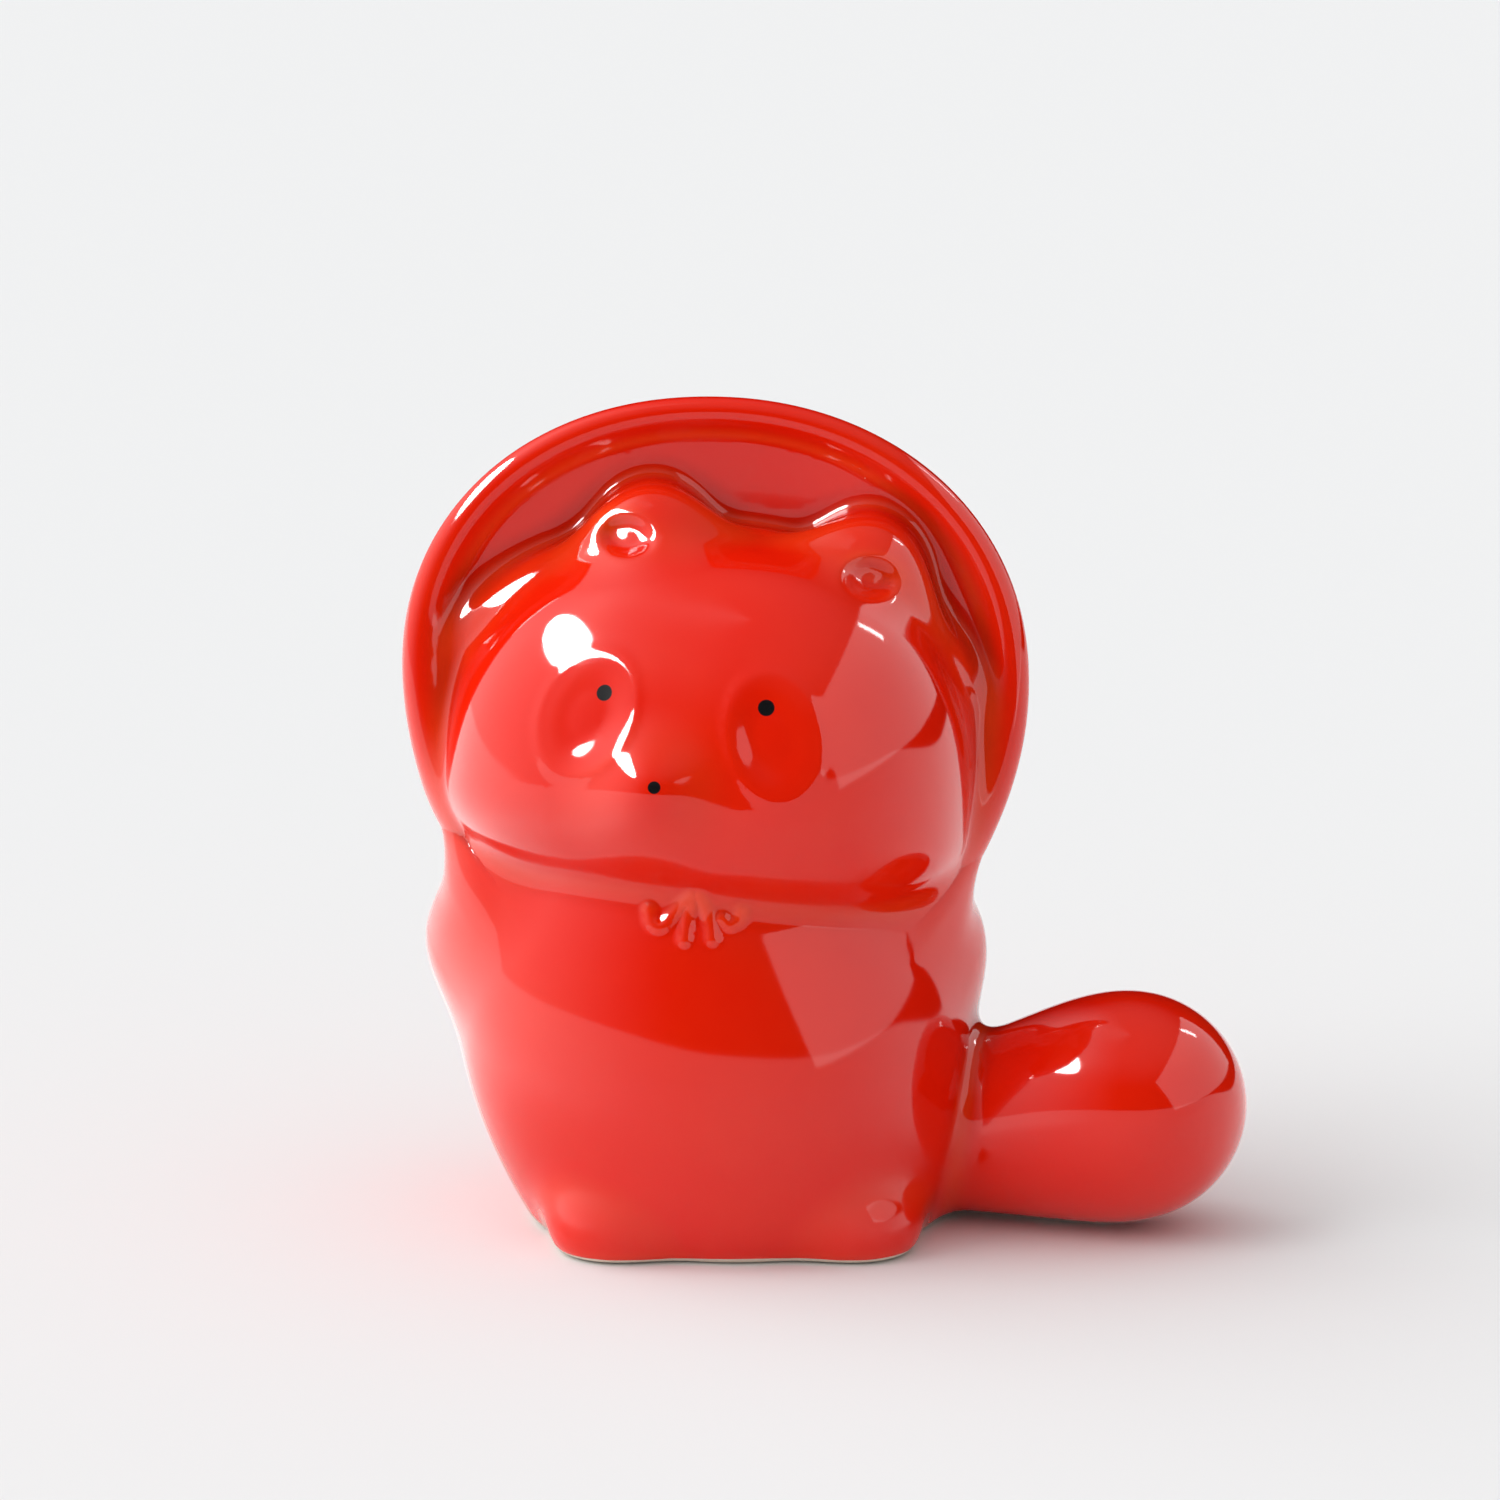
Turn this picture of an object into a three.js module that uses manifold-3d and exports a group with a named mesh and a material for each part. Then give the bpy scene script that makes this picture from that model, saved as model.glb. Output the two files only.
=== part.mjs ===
// Red-glazed porcelain tanuki figure, slip-cast in one piece.
// Millimetres, +Z up, the figure looks along -Y. The origin is the middle of the flat foot.
// Four masses are joined into one solid: the body, the head, the straw hat worn behind it
// and the tail. Each mass is a three.js geometry drawn out to a rounded form.

import * as THREE from 'three';
import { mergeVertices } from 'three/addons/utils/BufferGeometryUtils.js';
import Module from 'manifold-3d';

const wasm = await Module();
wasm.setup();

// Body: an egg cut flat at the foot, leaning to the figure's right and back towards the neck.
const BODY = { centre: [-0.3, -0.5, 20.5], radii: [27.2, 24.5, 33.7] };
const BODY_LEAN = { shift: 3.3, from: 0, to: 34 };
const BODY_RECLINE = { shift: 4.5, from: 8, to: 48 };

// Feet: two small toes that break the front edge of the foot.
const FOOT = { centre: [12.9, -15.3, 2.6], radii: [5.8, 5.4, 4.6], blend: 5 };

// Arms: held behind the back, so only the upper arm and elbow swell at the side.
const ARM = {
  shoulder: [20.8, -1.0, 35.5],
  elbow: [23.0, 3.5, 29.0],
  hand: [14.0, 20.0, 23.5],
  radii: [5.4, 5.8, 4.4],
  blend: 5,
};

// Tail: a fat bulb beside the body, clear of the ground.
const TAIL = { root: [22, -0.5, 9.6], tip: [40.8, -5.2, 12.8], radii: [9.2, 12.3] };

// Hat: a shallow dish with a rolled lip and a low conical crown behind.
// Its own axes are u to the right, v up the dish and n out of the dish.
const HAT = {
  centre: [-2.35, 1.5, 58.05],
  elevation: 14,
  lean: 1.6,
  radius: 32.8,
  upperReach: 0.879,
  lowerReach: 1.04,
  upperPower: 2.09,
  lip: 1.9,
  lipDrop: 1.6,
  dishDepth: 8.5,
  dishPower: 1.7,
  crownDepth: 17.0,
  crownPower: 1.35,
};

// Head: a bluff rounded form in front of the dish, tilted and turned to one side.
const HEAD = {
  centre: [-0.8, -4.5, -5.0],
  roll: 6.6,
  yaw: 13,
  middle: 2.6,
  browBase: -9.6,
  leftCheek: 29.3,
  rightCheek: 26.6,
  brow: 28.0,
  jaw: 12.5,
  depth: 25.5,
  powers: { across: 2.15, brow: 2.25, jaw: 2.2, depth: 2.4 },
  level: 2.3,
};
const HEAD_BACK = { radii: [29.6, 18.9], front: -3.0, edge: 3.0, blend: 2.0, sunk: 3.4 };
const SNOUT = { centre: [-4.6, -9.0, 19.5], radii: [7.5, 6.5, 10.5], blend: 9 };
const EARS = {
  centres: [[-8.0, 17.2], [15.0, 16.6]],
  front: 0.5,
  radii: [6.3, 7.0, 8.5],
  blend: 4.5,
};
const EAR_CUPS = { centres: [[-10.4, 17.3], [15.3, 15.7]], radii: [2.2, 1.7], depth: 0.9, front: 1 };
const EYE_HOLLOWS = {
  centres: [[-11.7, -1.9], [7.1, -2.0]],
  radii: [4.5, 6.2],
  tilt: 18,
  depth: 0.6,
  rim: [0.70, 1.12],
  front: 5,
};

// Fineness of the facets.
const BODY_DETAIL = 11;
const HEAD_DETAIL = 15;
const TAIL_DETAIL = 7;
const HAT_SECTORS = 60;
const DISH_STEPS = 7;
const CROWN_STEPS = 8;
const LIP_STEPS = 5;
const OUTER_REACH = 70;
const REACH_STEP = 0.5;
const HALVINGS = 24;
const SAME_POINT = 1e-4;

// The head is drawn out from a point this far in front of the hat's centre.
const HEAD_HEART = 3;

// What lies below the foot is cut away by a block of this size.
const GROUND = { width: 200, depth: 60 };

const RED_GLAZE = new THREE.MeshStandardMaterial({ color: 0xd8220f, roughness: 0.12, metalness: 0 });

const clamp = THREE.MathUtils.clamp;
const radians = THREE.MathUtils.degToRad;

function smoothMin(a, b, blend) {
  const near = Math.max(blend - Math.abs(a - b), 0) / blend;
  return Math.min(a, b) - near * near * blend * 0.25;
}

function smoothMax(a, b, blend) {
  return -smoothMin(-a, -b, blend);
}

function smoothStep(from, to, value) {
  return THREE.MathUtils.smoothstep(value, from, to);
}

// Distance to an ellipsoid, or to an elliptical cylinder when two radii are given.
function ellipsoid(offset, radii) {
  let scaled = 0;
  let slope = 0;
  for (let i = 0; i < radii.length; i++) {
    scaled += (offset[i] / radii[i]) ** 2;
    slope += (offset[i] / radii[i] ** 2) ** 2;
  }
  const level = Math.sqrt(scaled);
  return (level * (level - 1)) / (Math.sqrt(slope) + 1e-6);
}

// Distance to a rounded box-like form whose roundness differs along each axis.
function superellipsoid(offset, radii, powers, level) {
  let total = 0;
  let slope = 0;
  for (let i = 0; i < 3; i++) {
    const part = Math.abs(offset[i] / radii[i]) + 1e-3;
    total += part ** powers[i];
    slope += ((powers[i] * part ** (powers[i] - 1)) / radii[i]) ** 2;
  }
  const height = total ** (1 / level);
  return (height - 1) / ((Math.sqrt(slope) * total ** (1 / level - 1)) / level + 1e-6);
}

// Distance to a rod that runs from one end to the other and changes thickness evenly.
function taperedRod(point, start, end, startRadius, endRadius) {
  const along = end.map((value, i) => value - start[i]);
  const from = point.map((value, i) => value - start[i]);
  const length = along.reduce((sum, value) => sum + value * value, 0);
  const share = clamp(along.reduce((sum, value, i) => sum + value * from[i], 0) / length, 0, 1);
  const gap = Math.hypot(...from.map((value, i) => value - share * along[i]));
  return gap - (startRadius + (endRadius - startRadius) * share);
}

function bodyForm([x, y, z]) {
  const leanX = x + BODY_LEAN.shift * smoothStep(BODY_LEAN.from, BODY_LEAN.to, z);
  const leanY = y - BODY_RECLINE.shift * smoothStep(BODY_RECLINE.from, BODY_RECLINE.to, z);
  const across = leanX - BODY.centre[0];
  let form = ellipsoid([across, leanY - BODY.centre[1], z - BODY.centre[2]], BODY.radii);
  const side = Math.abs(across);
  const toe = [side - FOOT.centre[0], y - FOOT.centre[1], z - FOOT.centre[2]];
  form = smoothMin(form, ellipsoid(toe, FOOT.radii), FOOT.blend);
  const [shoulder, elbow, hand] = ARM.radii;
  const upperArm = taperedRod([side, y, z], ARM.shoulder, ARM.elbow, shoulder, elbow);
  const forearm = taperedRod([side, y, z], ARM.elbow, ARM.hand, elbow, hand);
  return smoothMin(form, Math.min(upperArm, forearm), ARM.blend);
}

const hatRight = new THREE.Vector3(1, 0, 0);
const hatUp = new THREE.Vector3(0, Math.sin(radians(HAT.elevation)), Math.cos(radians(HAT.elevation)));
const hatOut = new THREE.Vector3(0, -Math.cos(radians(HAT.elevation)), Math.sin(radians(HAT.elevation)));
const hatCentre = new THREE.Vector3(...HAT.centre);

function fromHat(u, v, n) {
  return hatCentre.clone().addScaledVector(hatRight, u).addScaledVector(hatUp, v).addScaledVector(hatOut, n);
}

// Height of the dish's inner face at a radius, measured along the hat's axis.
function dishHeight(radius) {
  const share = radius / (HAT.radius - 2 * HAT.lip);
  return -HAT.lipDrop - HAT.dishDepth * (1 - Math.min(share, 1) ** HAT.dishPower);
}

// Height of the crown's outer face behind the dish.
function crownHeight(radius) {
  return -2 * HAT.lip - HAT.crownDepth * (1 - (radius / HAT.radius) ** HAT.crownPower);
}

// The rim isn't round: it is flattened above, stretched below and leans to one side.
function rimStretch(u, v) {
  const power = v > 0 ? HAT.upperPower : 2;
  const reach = v > 0 ? HAT.upperReach : HAT.lowerReach;
  return (Math.abs(u) ** power + Math.abs(v / reach) ** power) ** (1 / power);
}

function hatGeometry() {
  const profile = [];
  const rimRadius = HAT.radius - HAT.lip;
  for (let i = 0; i <= DISH_STEPS; i++) {
    const radius = (i / DISH_STEPS) * (HAT.radius - 2 * HAT.lip);
    profile.push(new THREE.Vector2(radius, dishHeight(radius)));
  }
  for (let i = 1; i <= LIP_STEPS; i++) {
    const turn = Math.PI * (1 - (1.5 * i) / LIP_STEPS);
    profile.push(new THREE.Vector2(rimRadius + HAT.lip * Math.cos(turn), HAT.lip * (Math.sin(turn) - 1)));
  }
  for (let i = CROWN_STEPS - 1; i >= 0; i--) {
    const radius = (i / CROWN_STEPS) * rimRadius;
    profile.push(new THREE.Vector2(radius, crownHeight(radius)));
  }
  const geometry = new THREE.LatheGeometry(profile, HAT_SECTORS);
  const position = geometry.attributes.position;
  const lean = Math.tan(radians(HAT.lean));
  for (let i = 0; i < position.count; i++) {
    const u = position.getX(i);
    const v = position.getZ(i);
    const radius = Math.hypot(u, v);
    const scale = radius > 1e-6 ? radius / rimStretch(u, v) : 1;
    const place = fromHat(u * scale - v * scale * lean, v * scale, position.getY(i));
    position.setXYZ(i, place.x, place.y, place.z);
  }
  return geometry;
}

// Head coordinates of a point: lx across the tilted face, ly up it and dn out of the dish.
function toHead(point) {
  const offset = new THREE.Vector3(...point).sub(hatCentre);
  const u = offset.dot(hatRight) - HEAD.centre[0];
  const v = offset.dot(hatUp) - HEAD.centre[1];
  const dn = offset.dot(hatOut) - HEAD.centre[2];
  const roll = radians(HEAD.roll);
  return { lx: u * Math.cos(roll) - v * Math.sin(roll), ly: u * Math.sin(roll) + v * Math.cos(roll), dn };
}

function bluffHead({ lx, ly, dn }) {
  const yaw = radians(HEAD.yaw);
  const across = lx * Math.cos(yaw) + dn * Math.sin(yaw) - HEAD.middle;
  const out = -lx * Math.sin(yaw) + dn * Math.cos(yaw);
  const up = ly - HEAD.browBase;
  const radii = [across > 0 ? HEAD.rightCheek : HEAD.leftCheek, up > 0 ? HEAD.brow : HEAD.jaw, HEAD.depth];
  const powers = [HEAD.powers.across, up > 0 ? HEAD.powers.brow : HEAD.powers.jaw, HEAD.powers.depth];
  return superellipsoid([across, up, out], radii, powers, HEAD.level);
}

function eyeHollow({ lx, ly, dn }, [x, y], side) {
  if (dn < EYE_HOLLOWS.front) return 0;
  const tilt = radians(EYE_HOLLOWS.tilt);
  const across = (lx - x) * side;
  const up = ly - y;
  const turnedAcross = across * Math.cos(tilt) - up * Math.sin(tilt);
  const turnedUp = across * Math.sin(tilt) + up * Math.cos(tilt);
  const share = Math.hypot(turnedAcross / EYE_HOLLOWS.radii[0], turnedUp / EYE_HOLLOWS.radii[1]);
  return EYE_HOLLOWS.depth * (1 - smoothStep(...EYE_HOLLOWS.rim, share));
}

function headForm(point) {
  const place = toHead(point);
  const { lx, ly, dn } = place;
  const n = dn + HEAD.centre[2];
  const back = smoothMax(ellipsoid([lx, ly], HEAD_BACK.radii), n - HEAD_BACK.front, HEAD_BACK.edge);
  let form = smoothMin(bluffHead(place), back, HEAD_BACK.blend);
  const [x, y, z] = SNOUT.centre;
  form = smoothMin(form, ellipsoid([lx - x, ly - y, dn - z], SNOUT.radii), SNOUT.blend);
  for (const [earX, earY] of EARS.centres) {
    const ear = ellipsoid([lx - earX, ly - earY, Math.max(dn - EARS.front, 0)], EARS.radii);
    form = smoothMin(form, ear, EARS.blend);
  }
  for (const [cupX, cupY] of EAR_CUPS.centres) {
    const share = ((lx - cupX) / EAR_CUPS.radii[0]) ** 2 + ((ly - cupY) / EAR_CUPS.radii[1]) ** 2;
    if (dn > EAR_CUPS.front) form += EAR_CUPS.depth * Math.exp(-0.6 * share * share);
  }
  form += eyeHollow(place, EYE_HOLLOWS.centres[0], 1);
  form += eyeHollow(place, EYE_HOLLOWS.centres[1], -1);
  const offset = new THREE.Vector3(...point).sub(hatCentre);
  const v = offset.dot(hatUp);
  const dish = dishHeight(rimStretch(offset.dot(hatRight) + v * Math.tan(radians(HAT.lean)), v));
  return Math.max(form, dish - HEAD_BACK.sunk - n);
}

function tailForm(point) {
  return taperedRod(point, TAIL.root, TAIL.tip, ...TAIL.radii);
}

// An even ball of facets whose corners are drawn out from the centre to the form's surface.
function drawOut(centre, detail, form) {
  const ball = new THREE.IcosahedronGeometry(1, detail);
  ball.deleteAttribute('normal');
  ball.deleteAttribute('uv');
  const skin = mergeVertices(ball, SAME_POINT);
  const position = skin.attributes.position;
  const at = (i, reach) => [
    centre[0] + position.getX(i) * reach,
    centre[1] + position.getY(i) * reach,
    centre[2] + position.getZ(i) * reach,
  ];
  for (let i = 0; i < position.count; i++) {
    let outside = OUTER_REACH;
    while (form(at(i, outside - REACH_STEP)) > 0) outside -= REACH_STEP;
    let inside = outside - REACH_STEP;
    for (let step = 0; step < HALVINGS; step++) {
      const middle = (inside + outside) / 2;
      if (form(at(i, middle)) > 0) outside = middle;
      else inside = middle;
    }
    position.setXYZ(i, ...at(i, inside));
  }
  return skin;
}

function toSolid(geometry) {
  const bare = geometry.clone();
  bare.deleteAttribute('normal');
  bare.deleteAttribute('uv');
  const merged = mergeVertices(bare, SAME_POINT);
  const vertProperties = new Float32Array(merged.attributes.position.array);
  const triVerts = new Uint32Array(merged.index.array);
  return new wasm.Manifold(new wasm.Mesh({ numProp: 3, vertProperties, triVerts }));
}

function toGeometry(solid) {
  const mesh = solid.getMesh();
  const geometry = new THREE.BufferGeometry();
  geometry.setAttribute('position', new THREE.BufferAttribute(new Float32Array(mesh.vertProperties), 3));
  geometry.setIndex(new THREE.BufferAttribute(new Uint32Array(mesh.triVerts), 1));
  geometry.computeVertexNormals();
  return geometry;
}

function figureGeometry() {
  const headHeart = fromHat(HEAD.centre[0], HEAD.centre[1], HEAD_HEART).toArray();
  const body = toSolid(drawOut(BODY.centre, BODY_DETAIL, bodyForm));
  const head = toSolid(drawOut(headHeart, HEAD_DETAIL, headForm));
  const tail = toSolid(drawOut(TAIL.tip, TAIL_DETAIL, tailForm));
  const hat = toSolid(hatGeometry());
  const ground = new THREE.BoxGeometry(GROUND.width, GROUND.width, GROUND.depth);
  ground.translate(0, 0, -GROUND.depth / 2);
  return toGeometry(body.add(head).add(hat).add(tail).subtract(toSolid(ground)));
}

const figure = new THREE.Mesh(figureGeometry(), RED_GLAZE);
figure.name = 'tanuki_figure';

const model = new THREE.Group();
model.add(figure);

export default model;
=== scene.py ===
"""Red-glazed porcelain tanuki figure with a straw hat worn behind its head.

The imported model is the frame. The figure is one slip-cast piece, so it is dressed as one skin:
the body, tail, hat and head are distance fields that blend into each other, and an even net of
facets is drawn on the surface where the blended field is nought. Sizes are in millimetres and
are the same as the frame's own. The mesh is made in metres, in the frame's place.
"""

from __future__ import annotations

import logging
import math
from dataclasses import dataclass, field
from enum import Enum

import bpy
import numpy as np
from mathutils import Matrix, Vector

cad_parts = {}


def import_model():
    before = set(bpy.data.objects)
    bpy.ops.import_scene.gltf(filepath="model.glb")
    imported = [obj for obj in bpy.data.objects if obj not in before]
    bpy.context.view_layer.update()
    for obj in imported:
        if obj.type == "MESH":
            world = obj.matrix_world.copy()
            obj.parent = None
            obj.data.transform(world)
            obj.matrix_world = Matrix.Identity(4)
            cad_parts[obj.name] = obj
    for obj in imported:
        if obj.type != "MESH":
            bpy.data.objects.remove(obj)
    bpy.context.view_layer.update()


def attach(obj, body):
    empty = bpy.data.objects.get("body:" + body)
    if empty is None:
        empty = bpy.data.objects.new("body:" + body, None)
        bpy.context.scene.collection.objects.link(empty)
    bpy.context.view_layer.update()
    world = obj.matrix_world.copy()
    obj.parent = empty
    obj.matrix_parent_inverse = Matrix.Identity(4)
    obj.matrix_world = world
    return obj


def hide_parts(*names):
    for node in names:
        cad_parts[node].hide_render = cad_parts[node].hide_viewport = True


LOG = logging.getLogger("tanuki")

MM = 0.001
NODE = "tanuki_figure"
BODY_NAME = "root"
# Reach of the hollow and ridge measures; the hollow one darkens the glaze in creases, partly pooled
# glaze, partly painted shade.
CLOSENESS_REACH = 1.6

Pair = tuple[float, float]
Triple = tuple[float, float, float]
Colour = tuple[float, float, float, float]


# Blending of distances

def smooth_min(a: np.ndarray, b: np.ndarray, blend: float | np.ndarray) -> np.ndarray:
    """Joins two distances with a fillet.

    Args:
        a: distances to the first form.
        b: distances to the second form.
        blend: reach of the fillet, in millimetres.

    Returns:
        Distances to the joined form.
    """
    near = np.maximum(1 - np.abs(a - b) / blend, 0)
    return np.minimum(a, b) - near * near * blend * 0.25


def smooth_max(a: np.ndarray, b: np.ndarray, blend: float) -> np.ndarray:
    """Cuts one distance with another and rounds the edge between them."""
    return -smooth_min(-a, -b, blend)


def smooth_step(low: float, high: float, value: np.ndarray) -> np.ndarray:
    """Rises from 0 at low to 1 at high, level at both ends."""
    share = np.clip((value - low) / (high - low), 0, 1)
    return share * share * (3 - 2 * share)


def ellipsoid(offsets: tuple[np.ndarray, ...], radii: tuple[float, ...]) -> np.ndarray:
    """Distance to an ellipsoid, or to an elliptical cylinder when two radii are given.

    Args:
        offsets: coordinates measured from the centre.
        radii: half sizes along the same axes.

    Returns:
        Distances, exact at the surface and close to it near by.
    """
    scaled = sum((o / r) ** 2 for o, r in zip(offsets, radii))
    slope = sum((o / (r * r)) ** 2 for o, r in zip(offsets, radii))
    level = np.sqrt(scaled)
    return level * (level - 1) / (np.sqrt(slope) + 1e-6)


def tapered_rod(
    place: tuple[np.ndarray, ...], start: Triple, end: Triple, start_radius: float, end_radius: float
) -> np.ndarray:
    """Distance to a rod with round ends that changes thickness evenly.

    Args:
        place: x, y and z of the points.
        start: centre of the first end.
        end: centre of the second end.
        start_radius: radius at the first end.
        end_radius: radius at the second end.

    Returns:
        Distances to the rod.
    """
    along = [e - s for s, e in zip(start, end)]
    offset = [p - s for p, s in zip(place, start)]
    length = sum(a * a for a in along)
    share = np.clip(sum(o * a for o, a in zip(offset, along)) / length, 0, 1)
    gap = np.sqrt(sum((o - share * a) ** 2 for o, a in zip(offset, along)))
    return gap - (start_radius + (end_radius - start_radius) * share)


def round_cone(
    place: tuple[np.ndarray, ...], start: Triple, end: Triple, start_radius: float, end_radius: float
) -> np.ndarray:
    """Exact distance to two balls and the cone that touches both.

    Args:
        place: x, y and z of the points.
        start: centre of the first ball.
        end: centre of the second ball.
        start_radius: radius of the first ball.
        end_radius: radius of the second ball.

    Returns:
        Distances to the cone.
    """
    along = [e - s for s, e in zip(start, end)]
    offset = [p - s for p, s in zip(place, start)]
    length = sum(a * a for a in along)
    taper = start_radius - end_radius
    slant = length - taper * taper
    run = sum(o * a for o, a in zip(offset, along))
    past = run - length
    across = sum((o * length - run * a) ** 2 for o, a in zip(offset, along))
    edge = np.sign(taper) * taper * taper * across
    at_end = np.sign(past) * slant * past * past * length > edge
    at_start = np.sign(run) * slant * run * run * length < edge
    end_gap = np.sqrt(across + past * past * length) / length - end_radius
    start_gap = np.sqrt(across + run * run * length) / length - start_radius
    side_gap = (np.sqrt(across * slant / length) + run * taper) / length - start_radius
    return np.where(at_end, end_gap, np.where(at_start, start_gap, side_gap))


# Forms of the figure

@dataclass(frozen=True)
class Body:
    """Egg-shaped body cut flat at the foot, with two small toes and arms held behind the back."""

    centre: Triple = (-0.3, -0.5, 20.5)
    radii: Triple = (27.2, 24.5, 33.7)
    lean: Triple = (3.3, 0.0, 34.0)
    recline: Triple = (4.5, 8.0, 48.0)
    toe_centre: Triple = (12.9, -15.3, 2.6)
    toe_radii: Triple = (5.8, 5.4, 4.6)
    toe_blend: float = 5.0
    shoulder: Triple = (20.8, -1.0, 35.5)
    elbow: Triple = (23.0, 3.5, 29.0)
    hand: Triple = (14.0, 20.0, 23.5)
    arm_radii: Triple = (5.0, 5.5, 4.2)
    arm_blend: float = 8.0

    def distance(self, x: np.ndarray, y: np.ndarray, z: np.ndarray) -> np.ndarray:
        """Measures points against the body.

        Args:
            x: coordinates to the right, in millimetres.
            y: coordinates away from the viewer.
            z: heights.

        Returns:
            Distances to the body.
        """
        lean_by, lean_from, lean_to = self.lean
        recline_by, recline_from, recline_to = self.recline
        across = x + lean_by * smooth_step(lean_from, lean_to, z) - self.centre[0]
        deep = y - recline_by * smooth_step(recline_from, recline_to, z) - self.centre[1]
        form = ellipsoid((across, deep, z - self.centre[2]), self.radii)
        side = np.abs(across)
        toe = (side - self.toe_centre[0], y - self.toe_centre[1], z - self.toe_centre[2])
        form = smooth_min(form, ellipsoid(toe, self.toe_radii), self.toe_blend)
        upper, bend, wrist = self.arm_radii
        upper_arm = tapered_rod((side, y, z), self.shoulder, self.elbow, upper, bend)
        forearm = tapered_rod((side, y, z), self.elbow, self.hand, bend, wrist)
        return smooth_min(form, np.minimum(upper_arm, forearm), self.arm_blend)


@dataclass(frozen=True)
class Tail:
    """Fat drop beside the body, clear of the ground."""

    root: Triple = (22.0, -0.5, 8.8)
    tip: Triple = (40.8, -5.2, 12.9)
    root_radius: float = 8.2
    tip_radius: float = 12.6
    slides: tuple[float, ...] = (-5.0, -2.5, 0.0, 2.5, 5.0)

    def distance(self, x: np.ndarray, y: np.ndarray, z: np.ndarray) -> np.ndarray:
        """Measures points against the tail.

        A plain cone with round ends would meet its end ball at a break in the curve. So the cone is
        slid to a few places along its own axis and the distances are averaged.

        Args:
            x: coordinates to the right, in millimetres.
            y: coordinates away from the viewer.
            z: heights.

        Returns:
            Distances to the tail.
        """
        axis = np.array(self.tip) - np.array(self.root)
        axis /= np.linalg.norm(axis)
        total = 0
        for slide in self.slides:
            place = tuple(part - slide * along for part, along in zip((x, y, z), axis))
            total = total + round_cone(place, self.root, self.tip, self.root_radius, self.tip_radius)
        return total / len(self.slides)


@dataclass(frozen=True)
class Hat:
    """Shallow straw-hat dish with a rolled lip and a low conical crown behind it.

    Its own axes are u to the right, v up the dish and n out of the dish.
    """

    centre: Triple = (-2.35, 1.5, 58.05)
    elevation: float = 14.0
    lean: float = 1.6
    radius: float = 32.8
    upper_reach: float = 0.879
    lower_reach: float = 1.04
    upper_power: float = 2.09
    lower_power: float = 2.0
    lip: float = 1.9
    lip_drop: float = 1.6
    lip_blend: float = 1.6
    wall_edge: float = 1.0
    rim_edge: float = 2.0
    side_slope: float = 0.95
    dish_depth: float = 5.2
    dish_power: float = 2.1
    crown_depth: float = 17.0
    crown_power: float = 1.35
    reach: Pair = (1.2, 1.3)

    def own_axes(self, x: np.ndarray, y: np.ndarray, z: np.ndarray) -> tuple[np.ndarray, ...]:
        """Turns places of the figure into places of the hat.

        Args:
            x: coordinates to the right, in millimetres.
            y: coordinates away from the viewer.
            z: heights.

        Returns:
            Coordinates u, v and n.
        """
        turn = math.radians(self.elevation)
        dx, dy, dz = x - self.centre[0], y - self.centre[1], z - self.centre[2]
        up = dy * math.sin(turn) + dz * math.cos(turn)
        out = -dy * math.cos(turn) + dz * math.sin(turn)
        return dx, up, out

    def distance(self, u: np.ndarray, v: np.ndarray, n: np.ndarray) -> tuple[np.ndarray, np.ndarray]:
        """Measures points against the hat.

        Args:
            u: coordinates to the right.
            v: coordinates up the dish.
            n: coordinates out of the dish.

        Returns:
            Distances to the whole hat, and heights above the inner face of its dish.
        """
        leaned = u + v * math.tan(math.radians(self.lean))
        stretched = np.where(v > 0, v / self.upper_reach, v / self.lower_reach)
        power = np.where(v > 0, self.upper_power, self.lower_power)
        radius = (np.abs(leaned) ** power + np.abs(stretched) ** power) ** (1 / power)
        dish_radius = self.radius - 2 * self.lip
        share = np.clip(radius / dish_radius, 0, self.reach[0])
        floor = -self.dish_depth * (1 - share**self.dish_power) - self.lip_drop
        slope = self.dish_depth * self.dish_power * share ** (self.dish_power - 1) / dish_radius
        above = (n - floor) / np.sqrt(1 + slope * slope)
        share = np.clip(radius / self.radius, 0, self.reach[1])
        crown = -self.crown_depth * (1 - share**self.crown_power) - 2 * self.lip
        slope = self.crown_depth * self.crown_power * share ** (self.crown_power - 1) / self.radius
        behind = (crown - n) / np.sqrt(1 + slope * slope)
        disc = smooth_max(above, behind, self.wall_edge)
        rim = self.radius - self.lip
        disc = smooth_max(disc, (radius - rim) * self.side_slope, self.rim_edge)
        roll = np.sqrt((radius - rim) ** 2 + (n + self.lip) ** 2) - self.lip
        return smooth_min(disc, roll * self.side_slope, self.lip_blend), above


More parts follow.
